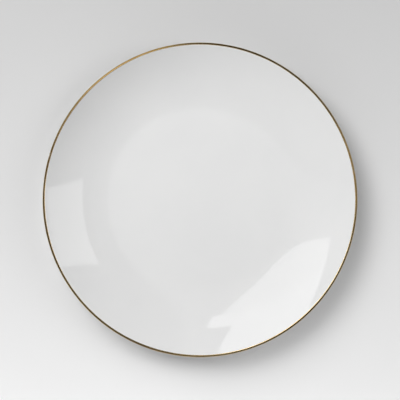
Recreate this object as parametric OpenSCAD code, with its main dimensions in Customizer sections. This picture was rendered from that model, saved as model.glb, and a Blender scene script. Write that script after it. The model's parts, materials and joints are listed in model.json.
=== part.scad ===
// China dinner plate of coupe form with a gilded lip.
// Every piece is a revolve about Z. The foot stands on z = 0.

/* [Plate] */
// Diameter over the glazed lip
plate_d = 267; // [240:1:320]
// Height from the foot to the top of the lip
plate_h = 26; // [22:0.5:36]
// Diameter of the flat well
well_d = 144; // [110:1:170]
// Thickness at the well, both glaze coats included
well_t = 4; // [3.2:0.1:6]
// Thickness at the lip, both glaze coats included
lip_t = 2.8; // [2:0.1:3.2]

/* [Foot ring] */
// Depth of the recess inside the ring
foot_h = 2.6; // [2.4:0.1:5]
// Width of the ring, glazed sides included
foot_w = 5; // [4:0.1:8]
// How far the middle of the ring sits outside the edge of the well
foot_out = 5; // [4.5:0.1:12]
// Radius of the hollow curve where the ring meets the underside
cove_r = 1.4; // [0.8:0.1:1.5]
// Height of the bare edge below the glaze
bare_h = 0.8; // [0.7:0.05:1]
// Rounding of the bare edge
edge_r = 0.6; // [0.2:0.05:0.65]

/* [Coats] */
// Thickness of the fired glaze
glaze_t = 0.25; // [0.15:0.01:0.4]
// Thickness of the gilding
gold_t = 0.06; // [0.04:0.01:0.1]
// Reach of the gilding, measured straight from the outermost point of the lip's curve
gold_reach = 1.7; // [1:0.1:2.4]

/* [Hidden] */
$fn = 180;

// Overlap that lets two curves cross where they would only touch
cross = 0.004;

// Inset of the body: the coat and a hairline, so that the two never share a face
body_inset = glaze_t + 0.005;

// Levels and radii of the well, the foot ring and the middle of the lip's curve
well_r = well_d / 2;
well_z = foot_h + well_t;
root_z = foot_h + well_t / 2;
foot_r = well_r + foot_out;
lip_r = lip_t / 2;
lip = [plate_d / 2 - lip_r, plate_h - lip_r];

// Face of the wall: an arc that springs level from the edge of the well and runs into the lip
lip_run = lip.x - well_r;
lip_rise = lip.y - well_z;
face_r = thousandth((lip_run ^ 2 + lip_rise ^ 2 - lip_r ^ 2) / (2 * (lip_rise + lip_r)));
face_c = [well_r, well_z + face_r];

// Back of the wall: an arc about a point on the line from the lip to the middle of the face's arc.
// It passes under the edge of the well at the thickness of the well.
inward = (face_c - lip) / norm(face_c - lip);
under = lip - [well_r, foot_h];
back_r = thousandth((under * under - 2 * lip_r * under * inward + lip_r ^ 2) / (2 * (lip_r - under * inward)));
back_c = lip + (back_r - lip_r) * inward;

// Outermost point of the lip's curve, in line with the wall
lip_tip = lip + lip_r * [inward.y, -inward.x];

// Hollow curves at the root of the foot ring: the inner one meets the level recess, the outer the back
cove_in = [foot_r - foot_w / 2 - cove_r, foot_h - cove_r];
cove_x = foot_r + foot_w / 2 + cove_r;
cove_out = [cove_x, back_c.y - sqrt((back_r + cove_r) ^ 2 - (cove_x - back_c.x) ^ 2)];
cove_lean = (back_c - cove_out) / norm(back_c - cove_out);

function thousandth(size) = round(size * 1000) / 1000;

// Flat floor of the well, inset by the thickness of a coat
module well_section(inset) {
    polygon([
        [0, foot_h + inset],
        [foot_r, foot_h + inset],
        [foot_r, root_z],
        [well_r, well_z - inset],
        [0, well_z - inset]
    ]);
}

// Wall between its two arcs, cut across the middle of the lip, with the round lip on its end
module wall_section(inset) {
    difference() {
        intersection() {
            translate(back_c) circle(back_r - inset);
            polygon([
                [foot_r, 0],
                [foot_r, foot_h + well_t / 4],
                [well_r, foot_h + well_t / 4],
                face_c,
                lip,
                lip - 2 * lip_t * inward,
                [plate_d / 2, 0]
            ]);
        }
        translate(face_c) circle(face_r + inset);
    }
    translate(lip) circle(lip_r - inset + cross);
}

// Foot ring above its bare edge, with a hollow curve down each side
module foot_section(inset) {
    translate([foot_r - foot_w / 2 + inset, bare_h]) square([foot_w - 2 * inset, root_z - bare_h]);
    difference() {
        polygon([
            cove_in,
            [foot_r, cove_in.y],
            [foot_r, cove_out.y],
            cove_out,
            cove_out + 2 * cove_r * cove_lean,
            cove_in + [0, 2 * cove_r]
        ]);
        for (middle = [cove_in, cove_out]) translate(middle) circle(cove_r + inset + cross);
    }
}

// Whole section of the plate down to the bare edge of the foot, inset by the thickness of a coat
module plate_section(inset) {
    well_section(inset);
    wall_section(inset);
    foot_section(inset);
}

// Bare edge of the foot ring with its ground face on z = 0
module bare_edge_section() {
    half_w = foot_w / 2 - body_inset;
    translate([foot_r - half_w, edge_r]) square([2 * half_w, bare_h]);
    translate([foot_r - half_w + edge_r, 0]) square([2 * (half_w - edge_r), bare_h]);
    for (side = [-1, 1]) translate([foot_r + side * (half_w - edge_r), edge_r]) circle(edge_r);
}

// Side of the section that belongs to the face: above the arc through the middle of the lip
module face_side() {
    translate(face_c) circle(face_r + lip_r);
    translate([0, well_z - lip_r]) square([well_r, plate_h]);
}

// Glaze all round the plate, without the underside of the foot ring
module glaze_section() {
    difference() {
        plate_section(0);
        plate_section(glaze_t);
        translate([foot_r - foot_w, 0]) square([2 * foot_w, bare_h]);
    }
}

// Fired body with the well, the wall, the lip and the foot ring in one piece
module porcelain_body() {
    color("whitesmoke") rotate_extrude() {
        plate_section(body_inset);
        bare_edge_section();
    }
}

// Coat over the well, the wall and the inner half of the lip
module face_glaze() {
    color("white") rotate_extrude() intersection() {
        glaze_section();
        face_side();
    }
}

// Coat over the outer half of the lip, the back of the wall and the outside of the foot ring
module back_glaze() {
    color("white") rotate_extrude() difference() {
        glaze_section();
        face_side();
        square([foot_r, well_z]);
    }
}

// Coat in the recess inside the foot ring
module recess_glaze() {
    color("white") rotate_extrude() difference() {
        intersection() {
            glaze_section();
            square([foot_r, well_z]);
        }
        face_side();
    }
}

// Gilding fired over both coats on the lip
module gold_band() {
    color("goldenrod") rotate_extrude() intersection() {
        difference() {
            wall_section(-gold_t);
            wall_section(0);
        }
        translate(lip_tip) circle(gold_reach);
    }
}

porcelain_body();
face_glaze();
back_glaze();
recess_glaze();
gold_band();
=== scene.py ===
# %% [markdown]
# # A china dinner plate with a gilded lip
# The plate is a turned piece of porcelain: a fired body, a coat of glaze over its face, its back and
# the recess inside its foot ring, and a line of gold on the lip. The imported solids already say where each
# piece lies, so they are loaded first as a fixed frame, and each piece below takes the place of its solid.

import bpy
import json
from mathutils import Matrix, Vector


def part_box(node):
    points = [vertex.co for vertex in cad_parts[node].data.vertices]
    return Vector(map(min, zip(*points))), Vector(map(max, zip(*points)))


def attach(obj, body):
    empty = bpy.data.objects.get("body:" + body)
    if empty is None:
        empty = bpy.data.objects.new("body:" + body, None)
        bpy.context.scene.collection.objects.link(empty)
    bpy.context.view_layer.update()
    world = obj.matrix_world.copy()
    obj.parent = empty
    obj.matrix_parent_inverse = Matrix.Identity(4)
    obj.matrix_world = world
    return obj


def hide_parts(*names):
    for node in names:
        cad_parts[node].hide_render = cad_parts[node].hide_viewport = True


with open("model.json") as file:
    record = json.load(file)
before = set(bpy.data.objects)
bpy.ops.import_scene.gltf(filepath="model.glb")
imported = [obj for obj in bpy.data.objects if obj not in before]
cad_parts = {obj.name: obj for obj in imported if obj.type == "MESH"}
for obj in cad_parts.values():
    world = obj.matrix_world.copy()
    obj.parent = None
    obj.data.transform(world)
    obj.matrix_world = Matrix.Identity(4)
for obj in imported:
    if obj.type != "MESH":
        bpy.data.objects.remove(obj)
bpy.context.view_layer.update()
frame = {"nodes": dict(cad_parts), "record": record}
print("solids:", ", ".join(sorted(frame["nodes"])))

# %% [markdown]
# ## Sizes
# Most sizes can be read from the boxes of the solids and from the two resting faces in the record:
# the level of the well, the foot ring, the thickness of the glaze and of the gold. A box doesn't show the
# radii of curves, the edge of the well, the reach of the gold or the hairline between clay and coat, so
# those are written here, in millimetres as a potter would give them.

# %% Sizes of the plate
import json
import math

import bpy
from mathutils import Matrix, Vector

MM = 0.001
rests = {mount["name"]: Vector(mount["pos_m"]) for mount in frame["record"]["mounts"]}
face_low, face_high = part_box("face_glaze")
recess_low, recess_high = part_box("recess_glaze")

well_z = rests["well_face"].z
foot_r = rests["foot_face"].x
plate_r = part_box("back_glaze")[1].x
plate_h = face_high.z
glaze_t = well_z - face_low.z
gold_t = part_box("gold_band")[1].x - plate_r
foot_h = recess_high.z - glaze_t
foot_in = recess_high.x - glaze_t
foot_out = 2 * foot_r - foot_in
bare_h = recess_low.z

well_r = 72 * MM
lip_r = 1.4 * MM
cove_r = 1.4 * MM
edge_r = 0.6 * MM
gold_reach = 1.7 * MM
hairline = 0.005 * MM
body_inset = glaze_t + hairline
print(f"plate {2 * plate_r / MM:.1f} mm across, {plate_h / MM:.1f} mm high, glaze {glaze_t / MM:.2f} mm")

# %% [markdown]
# ## The section
# A plate is thrown or pressed over a turning mould, so one section drawn beside the axis says all about
# its shape. The face rises from the flat well on one arc, rolls over a round lip, and comes back
# underneath on a second arc, with a small hollow curve on each side of the foot ring. The arcs are worked
# out from where they have to meet, in the way a template for the turning tool would be drawn.

# %% Arcs of the section
def heading(direction):
    return math.degrees(math.atan2(direction.y, direction.x))


def arc(middle, radius, start, stop, steps):
    turns = [math.radians(start + (stop - start) * i / steps) for i in range(steps + 1)]
    return [(middle.x + radius * math.cos(t), middle.y + radius * math.sin(t)) for t in turns]


lip = Vector((plate_r - lip_r, plate_h - lip_r))
rise = lip - Vector((well_r, well_z))
face_r = (rise.length_squared - lip_r ** 2) / (2 * (rise.y + lip_r))
face_c = Vector((well_r, well_z + face_r))
inward = (face_c - lip).normalized()

under = lip - Vector((well_r, foot_h))
lean = under.dot(inward)
back_r = (under.length_squared - 2 * lip_r * lean + lip_r ** 2) / (2 * (lip_r - lean))
back_c = lip + (back_r - lip_r) * inward

cove_in = Vector((foot_in - cove_r, foot_h - cove_r))
cove_x = foot_out + cove_r
cove_out = Vector((cove_x, back_c.y - math.sqrt((back_r + cove_r) ** 2 - (cove_x - back_c.x) ** 2)))
cove_lean = (back_c - cove_out).normalized()

face_turn = heading(inward)
tip_turn = face_turn - 90
back_turn = face_turn - 180
print(f"face arc {face_r / MM:.1f} mm, back arc {back_r / MM:.1f} mm, wall {tip_turn:.1f} degrees at the lip")

# %% [markdown]
# The clay follows the same lines as the outside of the glaze, only set in by the thickness of the coat. So
# each stretch of the section is a small function of that inset: 0 gives the outside of the glaze, and the
# thickness gives its inside. Every outline runs clockwise, which later makes all faces point outwards.

# %% Stretches of the section
LEVEL_STEPS, WALL_STEPS, LIP_STEPS, COVE_STEPS = 12, 44, 18, 10


def level(radius, z):
    return [(radius * i / LEVEL_STEPS, z) for i in range(LEVEL_STEPS + 1)]


def face_line(inset):
    wall = arc(face_c, face_r + inset, -90, back_turn, WALL_STEPS)
    return level(well_r, well_z - inset)[:-1] + wall


def lip_line(inset, start, stop):
    return arc(lip, lip_r - inset, start, stop, LIP_STEPS)[1:-1]


def back_line(inset):
    wall = arc(back_c, back_r - inset, back_turn, heading(-cove_lean), WALL_STEPS)
    return wall[:-1] + arc(cove_out, cove_r + inset, heading(cove_lean), 180, COVE_STEPS)


def recess_line(inset):
    cove = arc(cove_in, cove_r + inset, 0, 90, COVE_STEPS)
    return cove[:-1] + level(cove_in.x, foot_h + inset)[::-1]


print("points:", len(face_line(0)), "on the face,", len(back_line(0)), "on the back,",
      len(recess_line(0)), "in the recess")

# %% [markdown]
# Now the stretches are joined. The body goes once around, over its bare rounded foot. A coat goes out along
# its outside and back along the clay, and ends at the foot in a small round drip. The film of gold thins to
# nothing at both edges, and each of its points gets a share from -1 to 1 that says how near an edge it is.

# %% Outlines of the five pieces
EDGE_STEPS, DRIP_STEPS, GOLD_STEPS = 6, 5, 24
FEATHER = 8

half_bare = foot_out - body_inset - foot_r
bare_edge = arc(Vector((foot_r + half_bare - edge_r, edge_r)), edge_r, 0, -90, EDGE_STEPS)
bare_edge += arc(Vector((foot_r - half_bare + edge_r, edge_r)), edge_r, 270, 180, EDGE_STEPS)
body_outline = face_line(body_inset) + lip_line(body_inset, face_turn, back_turn)
body_outline += back_line(body_inset) + bare_edge + recess_line(body_inset)

tip = Vector((math.cos(math.radians(tip_turn)), math.sin(math.radians(tip_turn))))
face_outline = face_line(0) + lip_line(0, face_turn, tip_turn) + [tuple(lip + lip_r * tip)]
face_outline += [tuple(lip + (lip_r - glaze_t) * tip)] + lip_line(glaze_t, tip_turn, face_turn)
face_outline += face_line(glaze_t)[::-1]

drip_r = 0.6 * glaze_t
back_outline = [tuple(lip + lip_r * tip)] + lip_line(0, tip_turn, back_turn) + back_line(0)
back_outline += arc(Vector((foot_out - drip_r, bare_h + drip_r)), drip_r, 0, -90, DRIP_STEPS)
back_outline += [(foot_out - glaze_t, bare_h)] + back_line(glaze_t)[::-1]
back_outline += lip_line(glaze_t, back_turn, tip_turn) + [tuple(lip + (lip_r - glaze_t) * tip)]
back_outline += back_outline[:1]

recess_outline = recess_line(glaze_t)[::-1] + [(foot_in + glaze_t, bare_h)]
recess_outline += arc(Vector((foot_in + drip_r, bare_h + drip_r)), drip_r, -90, -180, DRIP_STEPS)
recess_outline += recess_line(0)

reach = math.degrees(2 * math.asin(gold_reach / (2 * lip_r)))
shares = [i / GOLD_STEPS - 1 for i in range(2 * GOLD_STEPS + 1)]
gold_outline = [
    tuple(lip + (lip_r + gold_t * math.sqrt(1 - abs(share) ** FEATHER)) * Vector((math.cos(t), math.sin(t))))
    for share in shares
    for t in [math.radians(tip_turn - reach * share)]
]
gold_outline += arc(lip, lip_r, tip_turn - reach, tip_turn + reach, GOLD_STEPS)[1:]
gold_shares = shares + [1 - 2 * i / GOLD_STEPS for i in range(1, GOLD_STEPS + 1)]
outlines = (body_outline, face_outline, back_outline, recess_outline, gold_outline)
print("points per outline:", [len(outline) for outline in outlines])

# %% [markdown]
# ## The wheel
# One rule makes all five pieces: carry an outline around the axis. A Screw or Spin could do it, but a
# Geometry Nodes tree keeps the number of steps and the finish as named inputs. The tree reads the points
# of an outline, lays a grid with one row per point, turns each row around the axis, and merges the seam
# and the pole. The gilder's brush wanders a little, so the tree can also let an edge sway about the middle
# of the lip, by a noise with a fixed seed; for the other pieces that input stays at nothing.

# %% Helpers for node trees
def add(tree, kind, settings=(), **inputs):
    made = tree.nodes.new(kind)
    for name, value in dict(settings).items():
        setattr(made, name, value)
    for name, value in inputs.items():
        feed(tree, value, made.inputs[name.replace("_", " ")])
    return made


def feed(tree, value, socket):
    if isinstance(value, bpy.types.NodeSocket):
        tree.links.new(value, socket)
    else:
        socket.default_value = value


def math_node(tree, operation, *values):
    made = add(tree, "ShaderNodeMath", {"operation": operation})
    for value, socket in zip(values, made.inputs):
        feed(tree, value, socket)
    return made.outputs[0]


# %% Geometry Nodes tree of the wheel
def make_wheel():
    tree = bpy.data.node_groups.new("wheel", "GeometryNodeTree")
    face = tree.interface
    face.new_socket("Outline", in_out="INPUT", socket_type="NodeSocketGeometry")
    for name, kind in (("Steps", "Int"), ("Merge", "Float"), ("Sway", "Float"), ("Sway Middle", "Vector"),
                       ("Seed", "Float"), ("Finish", "Material")):
        face.new_socket(name, in_out="INPUT", socket_type="NodeSocket" + kind)
    face.new_socket("Piece", in_out="OUTPUT", socket_type="NodeSocketGeometry")
    given = tree.nodes.new("NodeGroupInput").outputs

    count = add(tree, "GeometryNodeAttributeDomainSize", Geometry=given["Outline"]).outputs["Point Count"]
    ring = math_node(tree, "ADD", given["Steps"], 1)
    grid = add(tree, "GeometryNodeMeshGrid", Vertices_X=count, Vertices_Y=ring).outputs["Mesh"]
    index = tree.nodes.new("GeometryNodeInputIndex").outputs[0]
    row = math_node(tree, "FLOOR", math_node(tree, "DIVIDE", math_node(tree, "ADD", index, 0.5), ring))
    step = math_node(tree, "SUBTRACT", index, math_node(tree, "MULTIPLY", row, ring))
    turn = math_node(tree, "DIVIDE", math_node(tree, "MULTIPLY", step, 2 * math.pi), given["Steps"])

    def at_row(value, kind):
        return add(tree, "GeometryNodeSampleIndex", {"data_type": kind}, Geometry=given["Outline"],
                   Value=value, Index=row).outputs["Value"]

    point = at_row(tree.nodes.new("GeometryNodeInputPosition").outputs[0], "FLOAT_VECTOR")
    sway = at_row(add(tree, "GeometryNodeInputNamedAttribute", Name="sway").outputs["Attribute"], "FLOAT")
    around = add(tree, "ShaderNodeCombineXYZ", X=math_node(tree, "COSINE", turn),
                 Y=math_node(tree, "SINE", turn), Z=sway).outputs[0]
    noise = add(tree, "ShaderNodeTexNoise", {"noise_dimensions": "4D"}, Vector=around, W=given["Seed"],
                Scale=6.0, Detail=3.0).outputs[0]
    drift = math_node(tree, "MULTIPLY", math_node(tree, "SUBTRACT", noise, 0.5), given["Sway"])
    drift = math_node(tree, "MULTIPLY", drift, math_node(tree, "MULTIPLY", sway, sway))
    swayed = add(tree, "ShaderNodeVectorRotate", {"rotation_type": "Y_AXIS"}, Vector=point,
                 Center=given["Sway Middle"], Angle=drift).outputs[0]
    turned = add(tree, "ShaderNodeVectorRotate", {"rotation_type": "Z_AXIS"}, Vector=swayed,
                 Angle=turn).outputs[0]

    placed = add(tree, "GeometryNodeSetPosition", Geometry=grid, Position=turned).outputs[0]
    closed = add(tree, "GeometryNodeMergeByDistance", Geometry=placed, Distance=given["Merge"]).outputs[0]
    smooth = add(tree, "GeometryNodeSetShadeSmooth", Geometry=closed).outputs[0]
    real = add(tree, "GeometryNodeRealizeInstances", Geometry=smooth).outputs[0]
    done = add(tree, "GeometryNodeSetMaterial", Geometry=real, Material=given["Finish"]).outputs[0]
    tree.links.new(done, tree.nodes.new("NodeGroupOutput").inputs["Piece"])
    return tree


wheel = make_wheel()
print("the wheel has", len(wheel.nodes), "nodes")

# %% [markdown]
# ## Finishes
# Two marks turn up on more than one finish. Everything on a plate is made while it turns, so pressing,
# grinding and gilding all leave faint marks that run around the axis. And everything comes out of a kiln,
# which leaves soft clouds of slightly different tone. Each is a shader group that gives out a plain value,
# and every finish places it with its own scale. Both read Object coordinates, in metres from the axis.

# %% Turning marks, a shader group
def from_axis(tree, at):
    flat = add(tree, "ShaderNodeCombineXYZ", X=at["X"], Y=at["Y"]).outputs[0]
    return add(tree, "ShaderNodeVectorMath", {"operation": "LENGTH"}, Vector=flat).outputs["Value"]


def make_turning_marks():
    tree = bpy.data.node_groups.new("turning_marks", "ShaderNodeTree")
    for name, kind in (("Place", "Vector"), ("Rings", "Float"), ("Breaks", "Float"), ("Seed", "Float")):
        tree.interface.new_socket(name, in_out="INPUT", socket_type="NodeSocket" + kind)
    tree.interface.new_socket("Marks", in_out="OUTPUT", socket_type="NodeSocketFloat")
    given = tree.nodes.new("NodeGroupInput").outputs
    place = add(tree, "ShaderNodeSeparateXYZ", Vector=given["Place"]).outputs
    far = from_axis(tree, place)
    bearing = math_node(tree, "ARCTAN2", place["Y"], place["X"])
    across = math_node(tree, "MULTIPLY", math_node(tree, "ADD", far, place["Z"]), given["Rings"])
    around = add(tree, "ShaderNodeCombineXYZ", X=across,
                 Y=math_node(tree, "MULTIPLY", math_node(tree, "COSINE", bearing), given["Breaks"]),
                 Z=math_node(tree, "MULTIPLY", math_node(tree, "SINE", bearing), given["Breaks"])).outputs[0]
    marks = add(tree, "ShaderNodeTexNoise", {"noise_dimensions": "4D"}, Vector=around, W=given["Seed"],
                Scale=1.0, Detail=3.0, Roughness=0.5).outputs[0]
    tree.links.new(marks, tree.nodes.new("NodeGroupOutput").inputs["Marks"])
    return tree


turning_marks = make_turning_marks()
print("shared effect:", turning_marks.name)

# %% Kiln clouds, a shader group
def make_kiln_clouds():
    tree = bpy.data.node_groups.new("kiln_clouds", "ShaderNodeTree")
    for name, kind in (("Place", "Vector"), ("Scale", "Float"), ("Seed", "Float")):
        tree.interface.new_socket(name, in_out="INPUT", socket_type="NodeSocket" + kind)
    tree.interface.new_socket("Clouds", in_out="OUTPUT", socket_type="NodeSocketFloat")
    given = tree.nodes.new("NodeGroupInput").outputs
    noise = add(tree, "ShaderNodeTexNoise", {"noise_dimensions": "4D"}, Vector=given["Place"],
                W=given["Seed"], Scale=given["Scale"], Detail=4.0, Roughness=0.55).outputs[0]
    clouds = add(tree, "ShaderNodeMapRange", {"interpolation_type": "SMOOTHSTEP"}, Value=noise,
                 From_Min=0.3, From_Max=0.7).outputs[0]
    tree.links.new(clouds, tree.nodes.new("NodeGroupOutput").inputs["Clouds"])
    return tree


kiln_clouds = make_kiln_clouds()
print("shared effect:", kiln_clouds.name)

# %% Helpers for finishes
def new_finish(name):
    finish = bpy.data.materials.new(name)
    finish.use_nodes = True
    tree = finish.node_tree
    tree.nodes.clear()
    shader = tree.nodes.new("ShaderNodeBsdfPrincipled")
    tree.links.new(shader.outputs[0], tree.nodes.new("ShaderNodeOutputMaterial").inputs["Surface"])
    place = tree.nodes.new("ShaderNodeTexCoord").outputs["Object"]
    return finish, tree, shader, place


def effect(tree, group, **inputs):
    return add(tree, "ShaderNodeGroup", {"node_tree": group}, **inputs).outputs[0]


def tint(tree, share, first, second):
    made = add(tree, "ShaderNodeMix", {"data_type": "RGBA"})
    feed(tree, share, made.inputs["Factor"])
    for socket, colour in zip([s for s in made.inputs if s.type == "RGBA"], (first, second)):
        feed(tree, colour if isinstance(colour, bpy.types.NodeSocket) else (*colour, 1.0), socket)
    return [s for s in made.outputs if s.type == "RGBA"][0]


def spread(tree, value, low, high, start=0.0, stop=1.0):
    return add(tree, "ShaderNodeMapRange", Value=value, From_Min=start, From_Max=stop,
               To_Min=low, To_Max=high).outputs[0]


# %% [markdown]
# ### Glaze
# The glaze is clear glass over white clay, which looks like one even white skin with sharp reflections. Its
# surface is never dead flat: pressing leaves a slow ripple around the axis, and the melt leaves a fine
# unevenness. Both are a few thousandths of a millimetre or less, so they go in as bump. Where the coat pools
# in the hollow of the foot ring it looks a little greyer, which a height above the table tells.

# %% Glaze
def make_glaze():
    finish, tree, shader, place = new_finish("china_glaze")
    clouds = effect(tree, kiln_clouds, Place=place, Scale=16.0, Seed=2.0)
    ripple = effect(tree, turning_marks, Place=place, Rings=55.0, Breaks=0.8, Seed=5.0)
    white = tint(tree, clouds, (0.752, 0.753, 0.752), (0.772, 0.772, 0.769))
    height = add(tree, "ShaderNodeSeparateXYZ", Vector=place).outputs["Z"]
    pooled = spread(tree, height, 0.5, 0.0, start=1.0 * MM, stop=foot_h + 0.4 * MM)
    feed(tree, tint(tree, pooled, white, (0.66, 0.68, 0.68)), shader.inputs["Base Color"])
    feed(tree, spread(tree, clouds, 0.03, 0.055), shader.inputs["Roughness"])
    peel = add(tree, "ShaderNodeTexNoise", Vector=place, Scale=420.0, Detail=2.0).outputs[0]
    slow = add(tree, "ShaderNodeBump", Strength=1.0, Distance=0.006 * MM, Height=ripple).outputs[0]
    fine = add(tree, "ShaderNodeBump", Strength=1.0, Distance=0.0006 * MM, Height=peel,
               Normal=slow).outputs[0]
    feed(tree, fine, shader.inputs["Normal"])
    shader.inputs["IOR"].default_value = 1.46
    return finish


glaze = make_glaze()
print("finish:", glaze.name, len(glaze.node_tree.nodes), "nodes")

# %% [markdown]
# ### Bare porcelain
# Only the edge of the foot ring is bare, because glaze would weld the plate to the kiln shelf. It is ground
# smooth after firing: matt, a little warmer than the glaze, with a fine grain and grinding marks that run
# around the ring, and grey where it has stood on shelves.

# %% Bare porcelain
def make_porcelain():
    finish, tree, shader, place = new_finish("bare_porcelain")
    clouds = effect(tree, kiln_clouds, Place=place, Scale=90.0, Seed=7.0)
    grinding = effect(tree, turning_marks, Place=place, Rings=5200.0, Breaks=7.0, Seed=3.0)
    grain = add(tree, "ShaderNodeTexNoise", Vector=place, Scale=3800.0, Detail=3.0).outputs[0]
    clay = tint(tree, clouds, (0.70, 0.67, 0.62), (0.76, 0.74, 0.70))
    scuff = spread(tree, grinding, 0.0, 0.55, start=0.52, stop=0.72)
    feed(tree, tint(tree, scuff, clay, (0.52, 0.51, 0.50)), shader.inputs["Base Color"])
    feed(tree, spread(tree, grain, 0.6, 0.85, start=0.3, stop=0.7), shader.inputs["Roughness"])
    rough = add(tree, "ShaderNodeBump", Strength=0.6, Distance=0.02 * MM, Height=grain).outputs[0]
    ground = add(tree, "ShaderNodeBump", Strength=0.5, Distance=0.03 * MM, Height=grinding,
                 Normal=rough).outputs[0]
    feed(tree, ground, shader.inputs["Normal"])
    return finish


porcelain = make_porcelain()
print("finish:", porcelain.name, len(porcelain.node_tree.nodes), "nodes")

# %% [markdown]
# ### Gilding
# The gold is brushed on as a liquid while the plate turns, fired, and burnished. What remains is a thin
# metal film with fine streaks along the lip and small rubbed places where the glaze shows through. The
# photograph shows a dark line along the crown of the lip, with pale gold on both sides of it. That dark line
# is the dim room mirrored in the gold, so the crown gets a deep tone painted into the gold's colour: a
# painted dark reflection, which stays dark under any light. The tone follows the angle around the middle of
# the lip, which works all the way round without a UV map, and slow clouds make it differ along the rim, as
# the load of a brush does.

# %% Gilding
# The crown's deep tone is a painted dark reflection of the dim room; pale gold lies on both sides of it.
CROWN = math.radians(64)
DARK_REFLECTION_UNTIL, PALE_FROM = math.radians(17), math.radians(36)
STREAK_SHARE, LOAD_SHARE = 0.45, 0.55


def make_gilding():
    finish, tree, shader, place = new_finish("gilding")
    streaks = effect(tree, turning_marks, Place=place, Rings=3600.0, Breaks=9.0, Seed=11.0)
    clouds = effect(tree, kiln_clouds, Place=place, Scale=140.0, Seed=4.0)
    at = add(tree, "ShaderNodeSeparateXYZ", Vector=place).outputs
    bend = math_node(tree, "ARCTAN2", math_node(tree, "SUBTRACT", at["Z"], lip.y),
                     math_node(tree, "SUBTRACT", from_axis(tree, at), lip.x))
    from_crown = math_node(tree, "ABSOLUTE", math_node(tree, "SUBTRACT", bend, CROWN))
    crown_to_side = spread(tree, from_crown, 0.0, 1.0, start=DARK_REFLECTION_UNTIL, stop=PALE_FROM)
    load = effect(tree, kiln_clouds, Place=place, Scale=11.0, Seed=6.0)
    laid = math_node(tree, "ADD", math_node(tree, "MULTIPLY", streaks, STREAK_SHARE),
                     math_node(tree, "MULTIPLY", load, LOAD_SHARE))
    # Painted dark reflection: the crown is darkened in the gold's colour where the dim room would be
    # mirrored.
    painted_dark_reflection = tint(tree, laid, (0.02, 0.0115, 0.003), (0.3, 0.188, 0.062))
    pale = tint(tree, load, (0.47, 0.325, 0.135), (0.95, 0.775, 0.47))
    gold = tint(tree, crown_to_side, painted_dark_reflection, pale)
    rubbed = math_node(tree, "MULTIPLY", spread(tree, streaks, 0.0, 1.0, start=0.66, stop=0.74),
                       spread(tree, clouds, 0.0, 0.8, start=0.55, stop=0.9))
    feed(tree, tint(tree, rubbed, gold, (0.72, 0.70, 0.66)), shader.inputs["Base Color"])
    feed(tree, math_node(tree, "SUBTRACT", 1.0, rubbed), shader.inputs["Metallic"])
    feed(tree, spread(tree, streaks, 0.13, 0.22, start=0.3, stop=0.7), shader.inputs["Roughness"])
    brushed = add(tree, "ShaderNodeBump", Strength=0.4, Distance=0.004 * MM, Height=streaks).outputs[0]
    feed(tree, brushed, shader.inputs["Normal"])
    return finish


gilding = make_gilding()
print("finish:", gilding.name, len(gilding.node_tree.nodes), "nodes")

# %% [markdown]
# ## The pieces
# Each outline becomes a string of loose points, the wheel turns it, and the result is kept as a plain
# mesh. The enclosed volume is printed: a positive one means that the faces point outwards. Edges sharper
# than 30 degrees, such as the end of a coat, are marked sharp so that the smooth shading stops there.

# %% Turn an outline into a piece
STEPS = 360
MERGE = 0.0002 * MM
SWAY_SEED = 3.0
SHARP = math.radians(30)


def input_id(name):
    return next(item.identifier for item in wheel.interface.items_tree
                if item.item_type == "SOCKET" and item.in_out == "INPUT" and item.name == name)


def turn_outline(name, outline, finish, sway=0.0, shares=None):
    drawn = bpy.data.meshes.new(name + "_outline")
    drawn.from_pydata([(r, 0.0, z) for r, z in outline], [], [])
    marks = drawn.attributes.new("sway", "FLOAT", "POINT")
    marks.data.foreach_set("value", shares or [0.0] * len(outline))
    piece = bpy.data.objects.new(name, drawn)
    bpy.context.scene.collection.objects.link(piece)
    modifier = piece.modifiers.new("wheel", "NODES")
    modifier.node_group = wheel
    for label, value in (("Steps", STEPS), ("Merge", MERGE), ("Sway", sway),
                         ("Sway Middle", (lip.x, 0.0, lip.y)), ("Seed", SWAY_SEED), ("Finish", finish)):
        modifier[input_id(label)] = value
    evaluated = piece.evaluated_get(bpy.context.evaluated_depsgraph_get())
    turned = bpy.data.meshes.new_from_object(evaluated)
    piece.modifiers.clear()
    piece.data = turned
    turned.name = name
    turned.set_sharp_from_angle(angle=SHARP)
    bpy.data.meshes.remove(drawn)
    return piece


def volume(mesh):
    mesh.calc_loop_triangles()
    at = [point.co for point in mesh.vertices]
    corners = [triangle.vertices for triangle in mesh.loop_triangles]
    return sum(at[a].dot(at[b].cross(at[c])) for a, b, c in corners) / 6


# %% Five pieces on the frame
GILDER_SWAY = 0.12

for node, slot, finish, outline in (
    ("porcelain_body", "porcelain", porcelain, body_outline),
    ("face_glaze", "glaze", glaze, face_outline),
    ("back_glaze", "glaze", glaze, back_outline),
    ("recess_glaze", "glaze", glaze, recess_outline),
    ("gold_band", "gold", gilding, gold_outline),
):
    swaying = (GILDER_SWAY, gold_shares) if node == "gold_band" else ()
    piece = turn_outline("turned_" + node, outline, finish, *swaying)
    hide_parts(node)
    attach(piece, "root")
    print(f"{piece.name}: {len(piece.data.polygons)} faces, {volume(piece.data) / MM ** 3:.0f} mm3")

# %% [markdown]
# ## Floor, light and camera
# The plate lies on a plain pale sweep. In the photograph it is lighter towards the viewer, so close to the
# plate its tone is painted by Object coordinates, lighter in front and darker behind: a painted fall-off of
# light across the sweep. Further out it is pale all round, for the low side views.
# The paleness comes from this colour and not from more light.

# %% Floor
FLOOR_EDGE = 9
LIT_FRONT_TONE, SHADED_BACK_TONE, FAR_TONE, CLOUD_TONE = 0.952, 0.6, 0.8, 0.75
FADE_BEND, CLOUD_SHARE = 0.72, 0.04


def grey(tone):
    return (tone, tone, tone)


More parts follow.
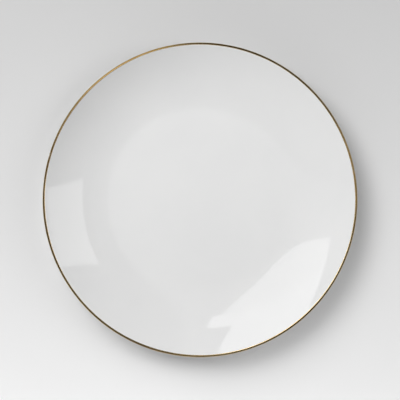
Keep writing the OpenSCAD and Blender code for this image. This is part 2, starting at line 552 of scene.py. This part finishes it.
def make_floor():
    finish, tree, shader, place = new_finish("pale_sweep")
    along = add(tree, "ShaderNodeSeparateXYZ", Vector=place).outputs["Y"]
    # Painted fall-off of light: the floor's tone runs from the lit front to the shaded back.
    share = math_node(tree, "POWER", spread(tree, along, 0.0, 1.0, start=-0.17, stop=0.17), FADE_BEND)
    away = add(tree, "ShaderNodeVectorMath", {"operation": "LENGTH"}, Vector=place).outputs["Value"]
    clouds = effect(tree, kiln_clouds, Place=place, Scale=9.0, Seed=1.0)
    pale = tint(tree, share, grey(LIT_FRONT_TONE), grey(SHADED_BACK_TONE))
    pale = tint(tree, spread(tree, away, 0.0, 1.0, start=0.3, stop=1.2), pale, grey(FAR_TONE))
    mottled = tint(tree, math_node(tree, "MULTIPLY", clouds, CLOUD_SHARE), pale, grey(CLOUD_TONE))
    feed(tree, mottled, shader.inputs["Base Color"])
    feed(tree, spread(tree, clouds, 0.75, 0.85), shader.inputs["Roughness"])
    shader.inputs["Specular IOR Level"].default_value = 0.05
    mesh = bpy.data.meshes.new("sweep")
    corners = [(FLOOR_EDGE * x, FLOOR_EDGE * y, 0) for x, y in ((-1, -1), (1, -1), (1, 1), (-1, 1))]
    mesh.from_pydata(corners, [], [(0, 1, 2, 3)])
    mesh.materials.append(finish)
    floor = bpy.data.objects.new("sweep", mesh)
    bpy.context.scene.collection.objects.link(floor)
    return floor


floor = make_floor()
print("floor:", floor.name)

# %% [markdown]
# A large softbox stands up and to the left, and a narrow panel to the right. Both show in the glazed wall as
# pale patches with clear edges, so their places follow from the wall: a line of sight is mirrored at each
# corner of a patch and carried on to where the lamp must end. The softbox has three adjoining parts in one
# plane, because its near part is dimmer and its far part a little narrower. Each lamp is given by the
# brightness of its face, where 1 is white, because that is what the glaze mirrors. The shadow at the lower
# right is deeper beside the lip than this softbox makes it, so a smaller key lamp stands in nearly the same
# direction. It is kept out of the reflections, because the patch in the photograph has no bright core.

# %% Lamps
def panel(name, middle, across, down, width, length, brightness):
    across, down = Vector(across).normalized(), Vector(down).normalized()
    lamp = bpy.data.lights.new(name, "AREA")
    lamp.shape = "RECTANGLE"
    lamp.size, lamp.size_y = width, length
    lamp.energy = brightness * math.pi * width * length
    stand = bpy.data.objects.new(name, lamp)
    out = across.cross(down).normalized()
    if out.dot(Vector(middle)) < 0:
        across, out = -across, -out
    stand.matrix_world = Matrix.Translation(middle) @ Matrix((across, down, out)).transposed().to_4x4()
    stand.visible_camera = False
    bpy.context.scene.collection.objects.link(stand)
    print(f"{name}: {width:.2f} by {length:.2f} m, brightness {brightness}")
    return stand


box_middle = Vector((-1.144, 1.25, 1.6))
box_across, box_down = Vector((0.942, -0.23, -0.245)), Vector((0.071, 0.849, -0.524))
for name, left, right, near, far, brightness in (
    ("softbox_near", -1.2, 1.09, -0.985, -0.325, 2.2),
    ("softbox_middle", -1.12, 1.16, -0.325, 0.0, 2.8),
    ("softbox_far", -1.12, 0.93, 0.0, 0.975, 2.8),
):
    middle = box_middle + box_across * (left + right) / 2 + box_down * (near + far) / 2
    panel(name, middle, box_across, box_down, right - left, far - near, brightness)

panel("side_panel", middle=(0.543, 0.107, 0.699), across=(-0.185, 0.982, 0.041),
      down=(0.365, 0.018, -0.931), width=0.36, length=0.63, brightness=2.02)

key_middle = Vector((-1.249, 1.011, 1.915))
key_across = key_middle.cross(Vector((0.0, 0.0, 1.0)))
key = panel("key_lamp", key_middle, key_across, down=key_across.cross(key_middle),
            width=1.19, length=1.19, brightness=3.38)
key.visible_glossy = False

# %% [markdown]
# The room is everything else that the glaze mirrors. It is light on the left, towards the upper right and
# towards the lower left, and dim between them. A board overhead ends above the plate, so that its edge
# crosses the well as a very faint step. Near the horizon the room has a plain middle tone.

# %% Room
HORIZON_TONE = 0.44
HORIZON_LOW, HORIZON_HIGH = 0.11, 0.15


def make_room():
    room = bpy.data.worlds.new("room")
    bpy.context.scene.world = room
    room.use_nodes = True
    tree = room.node_tree
    tree.nodes.clear()
    sight = tree.nodes.new("ShaderNodeTexCoord").outputs["Generated"]
    towards = add(tree, "ShaderNodeSeparateXYZ", Vector=sight).outputs
    across, along, up = towards["X"], towards["Y"], towards["Z"]

    def glow(direction, sign, brightness):
        share = math_node(tree, "MAXIMUM", math_node(tree, "MULTIPLY", direction, sign), 0.0)
        return math_node(tree, "MULTIPLY", math_node(tree, "POWER", share, 2.0), brightness)

    walls = glow(up, 1.0, brightness=0.04)
    for light, edges in (
        (glow(up, 1.0, brightness=0.72), ((across, 0.105, 0.075), (along, -0.105, -0.075))),
        (glow(across, -1.0, brightness=0.42), ()),
        (glow(across, 1.0, brightness=0.83), ((along, -0.45, -0.05),)),
        (glow(along, -1.0, brightness=1.42), ((across, 0.45, 0.05),)),
    ):
        for direction, dark, bright in edges:
            part = spread(tree, direction, 0.0, 1.0, start=dark, stop=bright)
            light = math_node(tree, "MULTIPLY", light, part)
        walls = math_node(tree, "ADD", walls, light)
    tone = spread(tree, up, HORIZON_TONE, walls, start=HORIZON_LOW, stop=HORIZON_HIGH)
    colour = add(tree, "ShaderNodeCombineColor", Red=tone, Green=tone, Blue=tone).outputs[0]
    backdrop = add(tree, "ShaderNodeBackground", Color=colour).outputs[0]
    tree.links.new(backdrop, tree.nodes.new("ShaderNodeOutputWorld").inputs["Surface"])
    return room


room = make_room()
print("room:", room.name, len(room.node_tree.nodes), "nodes")

# %% [markdown]
# The photograph looks straight down, with the plate in the middle of a square picture. A long lens from
# well above keeps the rim and the well nearly in one scale. Its focal length follows from how many pixels
# the rim is away from the middle of the picture.

# %% Camera
PICTURE = 400
SEEN_R = 157.4
EYE_HEIGHT = 1.6
EYE_SHIFT = -0.12 * MM
camera = bpy.data.cameras.new("overhead_camera")
camera.sensor_width = 36.0
camera.lens = SEEN_R / PICTURE * camera.sensor_width * (EYE_HEIGHT - lip.y) / (plate_r + gold_t)
eye = bpy.data.objects.new("overhead_camera", camera)
eye.location = (0.0, EYE_SHIFT, EYE_HEIGHT)
bpy.context.scene.collection.objects.link(eye)
bpy.context.scene.camera = eye
bpy.context.scene.view_settings.view_transform = "Standard"
print(f"camera at {EYE_HEIGHT} m with a {camera.lens:.1f} mm lens")
